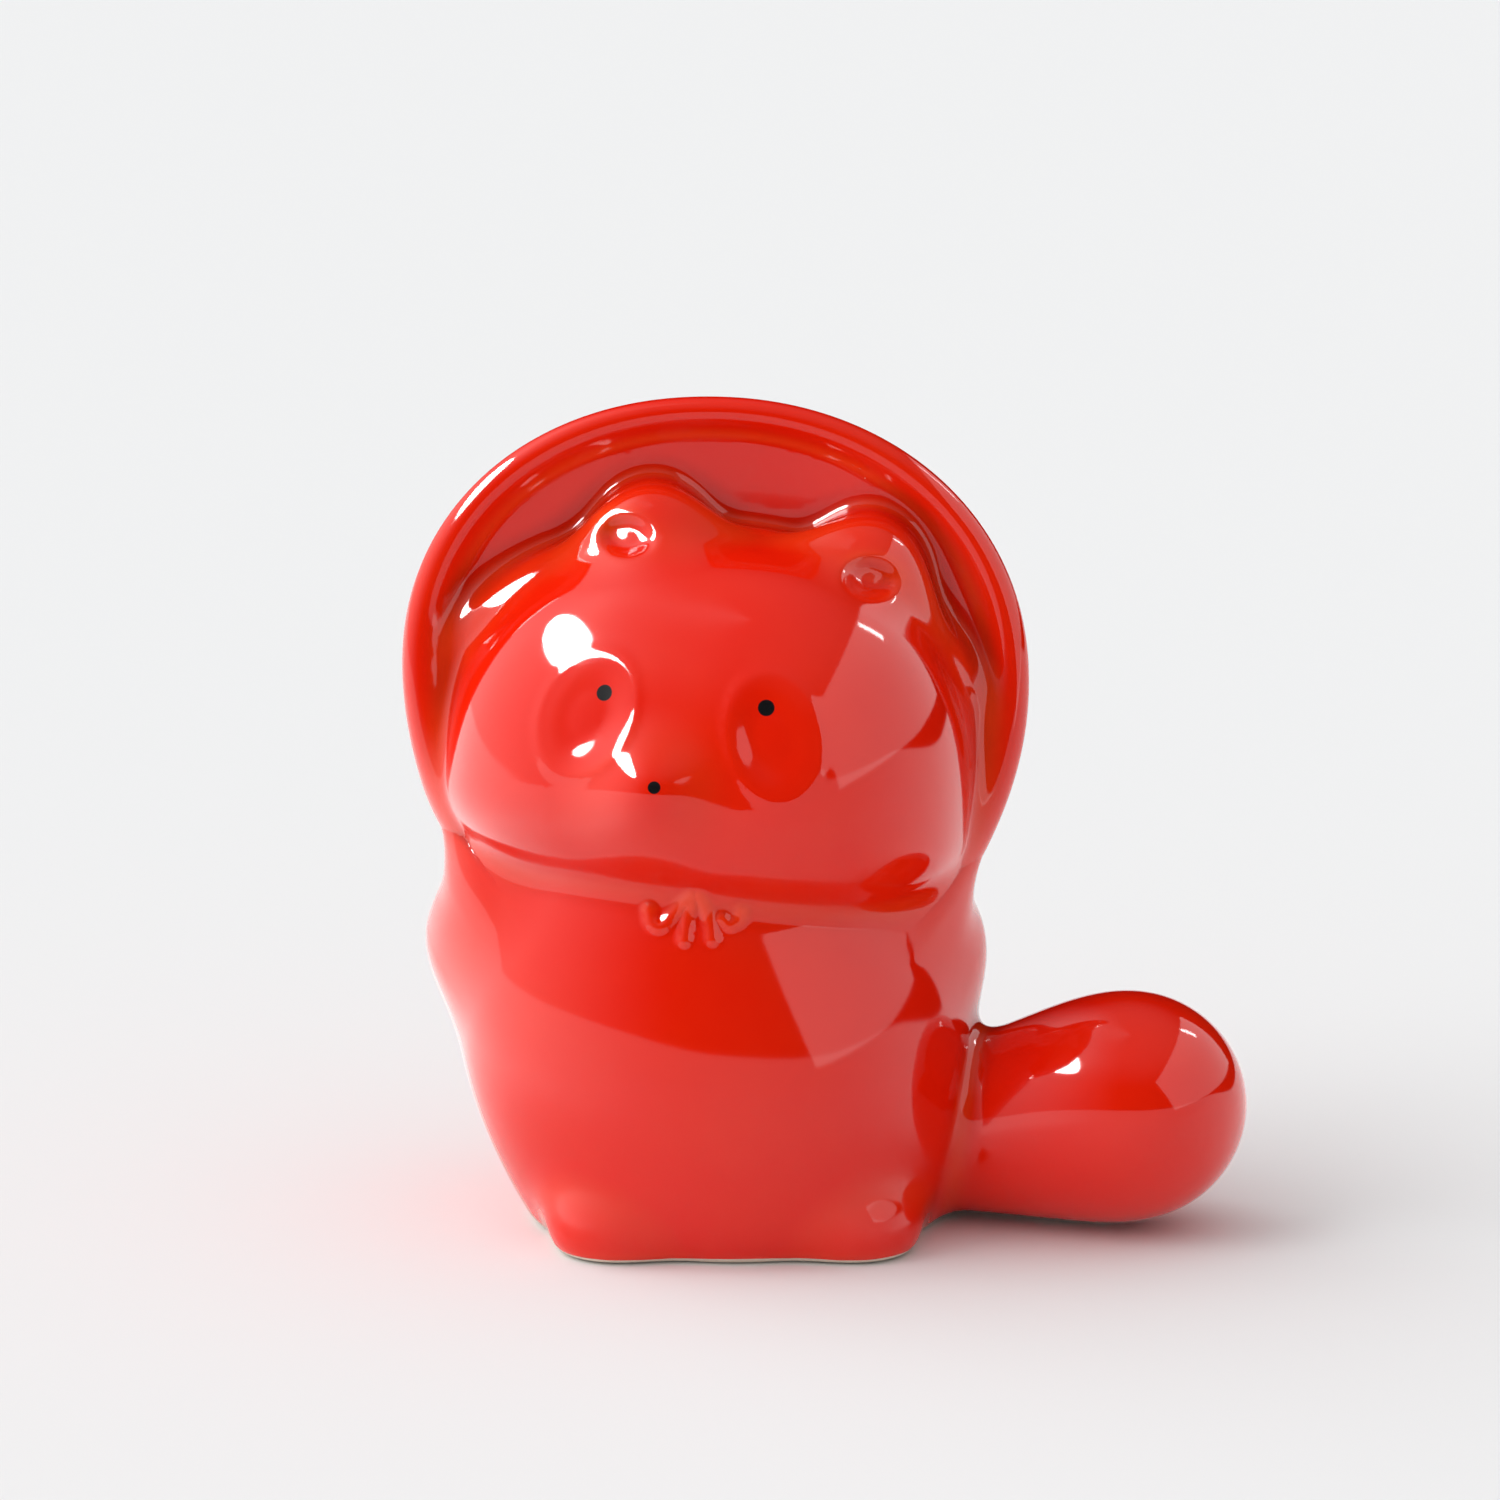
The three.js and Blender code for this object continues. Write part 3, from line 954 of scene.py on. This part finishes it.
@dataclass(frozen=True)
class RedGlaze:
    """Thick red glaze: thin and orange on ridges, deeper and darker red in creases (partly pooled glaze,
    partly painted shade), bare cream clay at the foot.
    """

    roughness: float = 0.055
    duller: float = 0.02
    ior: float = 1.5
    thin_on: Pair = (0.0, 0.75)
    # Range of the hollow measure over which creases darken: pooled glaze and painted shade.
    pooled_and_shaded_in: Pair = (0.05, 0.85)
    cloud_size: float = 14.0
    cloud_tone: float = 0.10
    wave_size: float = 9.0
    wave_height: float = 0.035
    peel_size: float = 1.3
    peel_height: float = 0.0012
    pin_spacing: float = 4.6
    pin_size: float = 0.16
    pin_share: float = 0.30
    pin_tone: float = 0.75
    pin_depth: float = 0.02
    enamel_edge: Pair = (0.93, 1.04)
    enamel_duller: float = 0.08
    foot_line: float = 0.40
    foot_edge: float = 0.08
    foot_ragged: float = 0.5
    clay_grain: float = 0.5
    clay_duller: float = 0.7
    dots: tuple[Dot, ...] = (
        Dot((-13.6, -15.4, 59.5), 0.86),
        Dot((2.9, -18.5, 58.5), 0.86),
        Dot((-8.6, -26.2, 52.3), 0.66),
    )

    def build(self, figure: Figure) -> bpy.types.Material:
        """Makes the material.

        Args:
            figure: the form, which gives each dot its place on the surface.

        Returns:
            The material.
        """
        material = bpy.data.materials.new("red_glaze_over_porcelain")
        material.use_nodes = True
        wires = Wires(material.node_tree)
        place = wires.add("ShaderNodeTexCoord").outputs["Object"]
        hollow = wires.add("ShaderNodeAttribute", attribute_name="hollow").outputs["Fac"]
        ridge = wires.add("ShaderNodeAttribute", attribute_name="ridge").outputs["Fac"]
        cloud = wires.noise(place, self.cloud_size, 3.0, 1.7)
        tone = wires.blend(wires.ramp(ridge, *self.thin_on), Finish.RED.value, Finish.THIN.value)
        # Creases and hollows darken here: partly pooled glaze, partly painted shade.
        tone = wires.blend(wires.ramp(hollow, *self.pooled_and_shaded_in), tone, Finish.POOLED_AND_SHADED.value)
        lighter = wires.ramp(cloud, 0.35, 0.75, (0.0, self.cloud_tone))
        tone = wires.blend(lighter, tone, Finish.THIN.value)
        seed = (0.011, 0.023, 0.005)
        pin = wires.specks(place, self.pin_spacing, self.pin_size, self.pin_share, seed)
        tone = wires.blend(wires.math("MULTIPLY", pin, self.pin_tone), tone, Finish.SPECK.value)
        rough = wires.math("ADD", wires.ramp(cloud, 0.2, 0.8, (0.0, self.duller)), self.roughness)
        tone, rough = self._enamel(wires, figure, place, tone, rough)
        tone, rough = self._bare_clay(wires, place, tone, rough)
        shader = wires.add("ShaderNodeBsdfPrincipled")
        shader.inputs["IOR"].default_value = self.ior
        wires.join(tone, shader.inputs["Base Color"])
        wires.join(rough, shader.inputs["Roughness"])
        wires.join(self._relief(wires, place, pin), shader.inputs["Normal"])
        output = wires.add("ShaderNodeOutputMaterial")
        wires.join(shader.outputs[0], output.inputs["Surface"])
        return material

    def _relief(self, wires: Wires, place: object, pin: object) -> bpy.types.NodeSocket:
        """Waves the glaze slowly, with fine orange peel and pinholes, as a bump.

        Args:
            wires: the material's nodes.
            place: the socket that gives the place on the surface.
            pin: the socket that is 1 in a pinhole.

        Returns:
            The bumped direction's socket.
        """
        wave = wires.noise(place, self.wave_size, 1.0, 4.1)
        wave = wires.math("MULTIPLY", wave, self.wave_height * MM)
        peel = wires.noise(place, self.peel_size, 1.0, 7.9)
        peel = wires.math("MULTIPLY", peel, self.peel_height * MM)
        height = wires.math("ADD", wave, peel)
        height = wires.math("SUBTRACT", height, wires.math("MULTIPLY", pin, self.pin_depth * MM))
        bump = wires.add("ShaderNodeBump")
        bump.inputs["Strength"].default_value = 1.0
        bump.inputs["Distance"].default_value = 1.0
        wires.join(height, bump.inputs["Height"])
        return bump.outputs[0]

    def _enamel(
        self, wires: Wires, figure: Figure, place: object, tone: object, rough: object
    ) -> tuple[bpy.types.NodeSocket, bpy.types.NodeSocket]:
        """Paints the eyes and the tip of the nose in black enamel.

        Args:
            wires: the material's nodes.
            figure: the form, on whose surface each dot is set.
            place: the socket that gives the place on the surface.
            tone: colour so far.
            rough: roughness so far.

        Returns:
            Colour and roughness with the dots.
        """
        for dot in self.dots:
            spot = np.array([dot.place])
            for _ in range(4):
                slope = figure.gradient(spot)
                spot = spot - slope * figure.distance(spot)[:, None] / (slope * slope).sum(1)[:, None]
            gap = wires.add("ShaderNodeVectorMath", operation="DISTANCE")
            wires.join(place, gap.inputs[0])
            gap.inputs[1].default_value = tuple(spot[0] * MM)
            reach = dot.radius * MM
            full, none = (reach * share for share in self.enamel_edge)
            inside = wires.ramp(gap.outputs["Value"], full, none, (1.0, 0.0))
            tone = wires.blend(inside, tone, Finish.ENAMEL.value)
            rough = wires.math("ADD", rough, wires.math("MULTIPLY", inside, self.enamel_duller))
        return tone, rough

    def _bare_clay(
        self, wires: Wires, place: object, tone: object, rough: object
    ) -> tuple[bpy.types.NodeSocket, bpy.types.NodeSocket]:
        """Leaves the foot and its lowest edge unglazed.

        Args:
            wires: the material's nodes.
            place: the socket that gives the place on the surface.
            tone: colour so far.
            rough: roughness so far.

        Returns:
            Colour and roughness with the bare foot.
        """
        parts = wires.add("ShaderNodeSeparateXYZ")
        wires.join(place, parts.inputs[0])
        ragged = wires.math("MULTIPLY", wires.noise(place, 6.0, 2.0, 2.3), self.foot_ragged * MM)
        line = wires.math("SUBTRACT", parts.outputs["Z"], ragged)
        low, high = self.foot_line * MM, (self.foot_line + self.foot_edge) * MM
        bare = wires.ramp(line, low, high, (1.0, 0.0))
        grain = wires.ramp(wires.noise(place, self.clay_grain, 3.0, 5.5), 0.3, 0.7, (0.0, 0.3))
        clay = wires.blend(grain, Finish.CLAY.value, Finish.GRIT.value)
        tone = wires.blend(bare, tone, clay)
        rough = wires.math("ADD", rough, wires.math("MULTIPLY", bare, self.clay_duller))
        return tone, rough


# Studio

@dataclass(frozen=True)
class Card:
    """Soft flat light, oblong or oval, that shows as a reflection in the glaze.

    The azimuth is 0 towards the camera and grows to the viewer's right.
    """

    name: str
    azimuth: float
    elevation: float
    width: float
    height: float
    radiance: float
    distance: float = 1.2
    oval: bool = False


@dataclass(frozen=True)
class SoftSun:
    """Even, very soft light from one direction, which lights floor and figure alike."""

    name: str
    azimuth: float
    elevation: float
    spread: float
    strength: float


@dataclass(frozen=True)
class Studio:
    """Pale floor, soft lights and the camera."""

    focal_pixels: float = 6705.0
    frame_pixels: float = 1500.0
    pitch: float = 13.0
    camera_distance: float = 700.0
    target: Triple = (1.25, 0.0, 49.95)
    clip: Pair = (0.01, 50.0)
    floor_half: float = 3.0
    floor_tone: Colour = (0.815, 0.82, 0.825, 1.0)
    floor_roughness: float = 0.9
    film_height: float = 0.2
    sheen_from: Pair = (25.0, 90.0)
    pale: float = 0.86
    pale_up_to: float = 10.0
    pale_edge: float = 0.008
    pale_left: Pair = (-105.0, -30.0)
    pale_left_share: float = 0.6
    pale_left_behind: Pair = (-172.0, -120.0)
    pale_right: Pair = (75.0, 125.0)
    left_glow: float = 1.5
    left_from: Pair = (-108.0, -10.0)
    right_glow: float = 0.45
    right_from: Pair = (40.0, 95.0)
    behind: Pair = (120.0, 172.0)
    wall: float = 1.45
    wall_top: Pair = (0.80, 0.98)
    wall_top_share: float = 0.3
    dim: float = 0.004
    ceiling: float = 0.36
    ceiling_from: Pair = (0.5, 1.0)
    cards: tuple[Card, ...] = (
        Card("window_left", -90, 47, 1.10, 0.34, 26.0, oval=True),
        Card("panel_right", 87, 31, 2.6, 0.98, 1.15),
        Card("window_back", 124, 40, 0.06, 0.24, 12.0),
    )
    suns: tuple[SoftSun, ...] = (
        SoftSun("key_from_left", -76, 38, 45, 0.80),
        SoftSun("fill_from_above", 0, 88, 150, 1.42),
    )

    def camera(self) -> bpy.types.Object:
        """Sets up the camera at the viewing angle.

        Returns:
            The camera.
        """
        data = bpy.data.cameras.new("camera")
        data.sensor_width = 36.0
        data.lens = self.focal_pixels / self.frame_pixels * data.sensor_width
        data.clip_start, data.clip_end = self.clip
        camera = bpy.data.objects.new("camera", data)
        down = math.radians(self.pitch)
        forward = Vector((0.0, math.cos(down), -math.sin(down)))
        camera.location = (Vector(self.target) - forward * self.camera_distance) * MM
        camera.rotation_euler = (math.radians(90 - self.pitch), 0.0, 0.0)
        bpy.context.scene.collection.objects.link(camera)
        bpy.context.scene.camera = camera
        return camera

    def sheet(self, name: str, height: float, material: bpy.types.Material) -> bpy.types.Object:
        """Lays a square sheet under the figure, as part of the stage.

        Args:
            name: name of the sheet.
            height: height over the ground, in millimetres.
            material: its material.

        Returns:
            The sheet.
        """
        half = self.floor_half
        mesh = bpy.data.meshes.new(name)
        square = ((-half, -half), (half, -half), (half, half), (-half, half))
        corners = [(x, y, height * MM) for x, y in square]
        mesh.from_pydata(corners, [], [(0, 1, 2, 3)])
        mesh.materials.append(material)
        laid = bpy.data.objects.new(name, mesh)
        bpy.context.scene.collection.objects.link(laid)
        return laid

    def floor(self) -> bpy.types.Object:
        """Lays the plain pale floor under the foot.

        Returns:
            The floor.
        """
        material = bpy.data.materials.new("pale_floor")
        material.use_nodes = True
        shader = material.node_tree.nodes["Principled BSDF"]
        shader.inputs["Base Color"].default_value = self.floor_tone
        shader.inputs["Roughness"].default_value = self.floor_roughness
        shader.inputs["Specular IOR Level"].default_value = 0.0
        return self.sheet("floor", 0.0, material)

    def side_glow(self, wires: Wires, azimuth: bpy.types.NodeSocket) -> bpy.types.NodeSocket:
        """Brightens the pale ground towards the window and the panel.

        Args:
            wires: the nodes to add to.
            azimuth: the socket that gives the azimuth, in degrees.

        Returns:
            Socket of the added brightness, which is nought straight behind.
        """
        left = wires.ramp(azimuth, *self.left_from, (self.left_glow, 0.0))
        right = wires.ramp(azimuth, *self.right_from, (0.0, self.right_glow))
        return wires.math("MULTIPLY", wires.math("ADD", left, right), self.beside(wires, azimuth))

    def beside(self, wires: Wires, azimuth: bpy.types.NodeSocket) -> bpy.types.NodeSocket:
        """Fades what is bright beside the figure to nought straight behind it.

        Args:
            wires: the nodes to add to.
            azimuth: the socket that gives the azimuth, in degrees.

        Returns:
            Socket that is 1 in front and beside, and 0 behind.
        """
        turned_away = wires.math("ABSOLUTE", azimuth)
        return wires.ramp(turned_away, *self.behind, (1.0, 0.0))

    def azimuth(self, wires: Wires, parts: bpy.types.Node) -> bpy.types.NodeSocket:
        """Works out an azimuth.

        Args:
            wires: the nodes to add to.
            parts: the node that gives x, y and z of a direction or a place.

        Returns:
            Socket of the azimuth, in degrees.
        """
        toward = wires.math("MULTIPLY", parts.outputs["Y"], -1.0)
        turn = wires.math("ARCTAN2", parts.outputs["X"], toward)
        return wires.math("MULTIPLY", turn, math.degrees(1))

    def surroundings(self) -> None:
        """Pale ground haze up to just above the horizon, a lit wall to the left and a dim room."""
        world = bpy.data.worlds.new("studio")
        world.use_nodes = True
        bpy.context.scene.world = world
        wires = Wires(world.node_tree)
        parts = wires.add("ShaderNodeSeparateXYZ")
        wires.join(wires.add("ShaderNodeTexCoord").outputs["Generated"], parts.inputs[0])
        azimuth, height = self.azimuth(wires, parts), parts.outputs["Z"]
        wall = wires.ramp(azimuth, *self.left_from, (self.wall, 0.0))
        wall = wires.math("MULTIPLY", wall, self.beside(wires, azimuth))
        top = wires.ramp(height, *self.wall_top, (1.0, self.wall_top_share))
        wall = wires.math("MULTIPLY", wall, top)
        ceiling = wires.ramp(height, *self.ceiling_from, (self.dim, self.ceiling))
        room = wires.math("ADD", wall, ceiling)
        ground = wires.math("ADD", self.side_glow(wires, azimuth), self.pale)
        edge = math.sin(math.radians(self.pale_up_to))
        above = height
        for share, span, to in (
            (self.pale_left_share, self.pale_left, (edge, 0.0)),
            (1 - self.pale_left_share, self.pale_left_behind, (edge, 0.0)),
            (1.0, self.pale_right, (0.0, edge)),
        ):
            drop = wires.ramp(azimuth, *span, tuple(share * end for end in to))
            above = wires.math("ADD", above, drop)
        radiance = wires.add("ShaderNodeMix", data_type="FLOAT")
        wires.join(wires.ramp(above, edge - self.pale_edge, edge + self.pale_edge), radiance.inputs[0])
        wires.join(ground, radiance.inputs[2])
        wires.join(room, radiance.inputs[3])
        light = wires.add("ShaderNodeBackground")
        wires.join(radiance.outputs[0], light.inputs["Strength"])
        light.inputs["Color"].default_value = (1.0, 1.0, 1.0, 1.0)
        output = wires.add("ShaderNodeOutputWorld")
        wires.join(light.outputs[0], output.inputs["Surface"])

    def sheen(self) -> bpy.types.Object:
        """Lays a film just over the floor, which shows its sheen towards the window in the glaze alone.

        Returns:
            The film.
        """
        material = bpy.data.materials.new("floor_sheen")
        material.use_nodes = True
        wires = Wires(material.node_tree)
        parts = wires.add("ShaderNodeSeparateXYZ")
        place = wires.add("ShaderNodeTexCoord").outputs["Object"]
        wires.join(place, parts.inputs[0])
        reach = wires.add("ShaderNodeVectorMath", operation="LENGTH")
        wires.join(place, reach.inputs[0])
        away = wires.ramp(reach.outputs["Value"], *(radius * MM for radius in self.sheen_from))
        glow = wires.add("ShaderNodeEmission")
        side = self.side_glow(wires, self.azimuth(wires, parts))
        wires.join(wires.math("MULTIPLY", side, away), glow.inputs["Strength"])
        both = wires.add("ShaderNodeAddShader")
        wires.join(glow.outputs[0], both.inputs[0])
        wires.join(wires.add("ShaderNodeBsdfTransparent").outputs[0], both.inputs[1])
        output = wires.add("ShaderNodeOutputMaterial")
        wires.join(both.outputs[0], output.inputs["Surface"])
        film = self.sheet("floor_sheen", self.film_height, material)
        film.visible_camera = False
        film.visible_diffuse = False
        film.visible_shadow = False
        return film

    def place(
        self, data: bpy.types.Light, azimuth: float, elevation: float, away: float
    ) -> bpy.types.Object:
        """Hangs a light so that it faces the figure.

        Args:
            data: the light.
            azimuth: direction round the figure, in degrees.
            elevation: height above the horizon, in degrees.
            away: distance from the figure, in metres.

        Returns:
            The light's object, which the camera doesn't see.
        """
        lamp = bpy.data.objects.new(data.name, data)
        turn, rise = math.radians(azimuth), math.radians(elevation)
        side = Vector((math.sin(turn) * math.cos(rise), -math.cos(turn) * math.cos(rise), math.sin(rise)))
        facing = side.to_track_quat("Z", "Y").to_matrix().to_4x4()
        lamp.matrix_world = Matrix.Translation(side * away + Vector(self.target) * MM) @ facing
        lamp.visible_camera = False
        bpy.context.scene.collection.objects.link(lamp)
        return lamp

    def hang_card(self, card: Card) -> bpy.types.Object:
        """Hangs one card, which shows in the glaze and lights nothing else.

        Args:
            card: the card.

        Returns:
            The light's object.
        """
        data = bpy.data.lights.new(card.name, "AREA")
        data.shape = "ELLIPSE" if card.oval else "RECTANGLE"
        data.size, data.size_y = card.width, card.height
        data.energy = card.radiance * 4 * card.width * card.height
        lamp = self.place(data, card.azimuth, card.elevation, card.distance)
        lamp.visible_diffuse = False
        return lamp

    def hang_sun(self, sun: SoftSun) -> bpy.types.Object:
        """Hangs one soft sun, which doesn't show in the glaze.

        Args:
            sun: the sun.

        Returns:
            The light's object.
        """
        data = bpy.data.lights.new(sun.name, "SUN")
        data.energy = sun.strength
        data.angle = math.radians(sun.spread)
        lamp = self.place(data, sun.azimuth, sun.elevation, 1.0)
        lamp.visible_glossy = False
        return lamp

    def build(self) -> None:
        """Sets up camera, floor, surroundings and lights."""
        self.camera()
        self.floor()
        self.sheen()
        self.surroundings()
        for card in self.cards:
            self.hang_card(card)
        for sun in self.suns:
            self.hang_sun(sun)
        bpy.context.scene.view_settings.view_transform = "Standard"


def build_figure(figure: Figure) -> bpy.types.Object:
    """Casts the skin of the figure and dresses it in glaze.

    Args:
        figure: the blended form.

    Returns:
        The finished mesh object.
    """
    figure.lay_bow()
    skin = Skin(figure)
    skin.draw()
    mesh = bpy.data.meshes.new("tanuki")
    mesh.from_pydata((skin.points * MM).tolist(), [], skin.faces.tolist())
    mesh.polygons.foreach_set("use_smooth", np.ones(len(skin.faces), bool))
    mesh.update()
    # The hollow attribute darkens the glaze in creases: pooled glaze and painted shade.
    hollow, ridge = skin.closeness(CLOSENESS_REACH)
    for name, values in (("hollow", hollow), ("ridge", ridge)):
        layer = mesh.attributes.new(name, "FLOAT", "POINT")
        layer.data.foreach_set("value", values.astype(np.float32))
    mesh.normals_split_custom_set_from_vertices(skin.normals.tolist())
    mesh.materials.append(RedGlaze().build(figure))
    piece = bpy.data.objects.new("tanuki", mesh)
    bpy.context.scene.collection.objects.link(piece)
    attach(piece, BODY_NAME)
    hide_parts(NODE)
    LOG.info("%s: %d points, %d facets", piece.name, len(skin.points), len(skin.faces))
    return piece


def main() -> None:
    """Builds the studio and the figure around the frame."""
    logging.basicConfig(level=logging.INFO, format="%(message)s")
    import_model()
    Studio().build()
    build_figure(Figure())


if __name__ == "__main__":
    main()
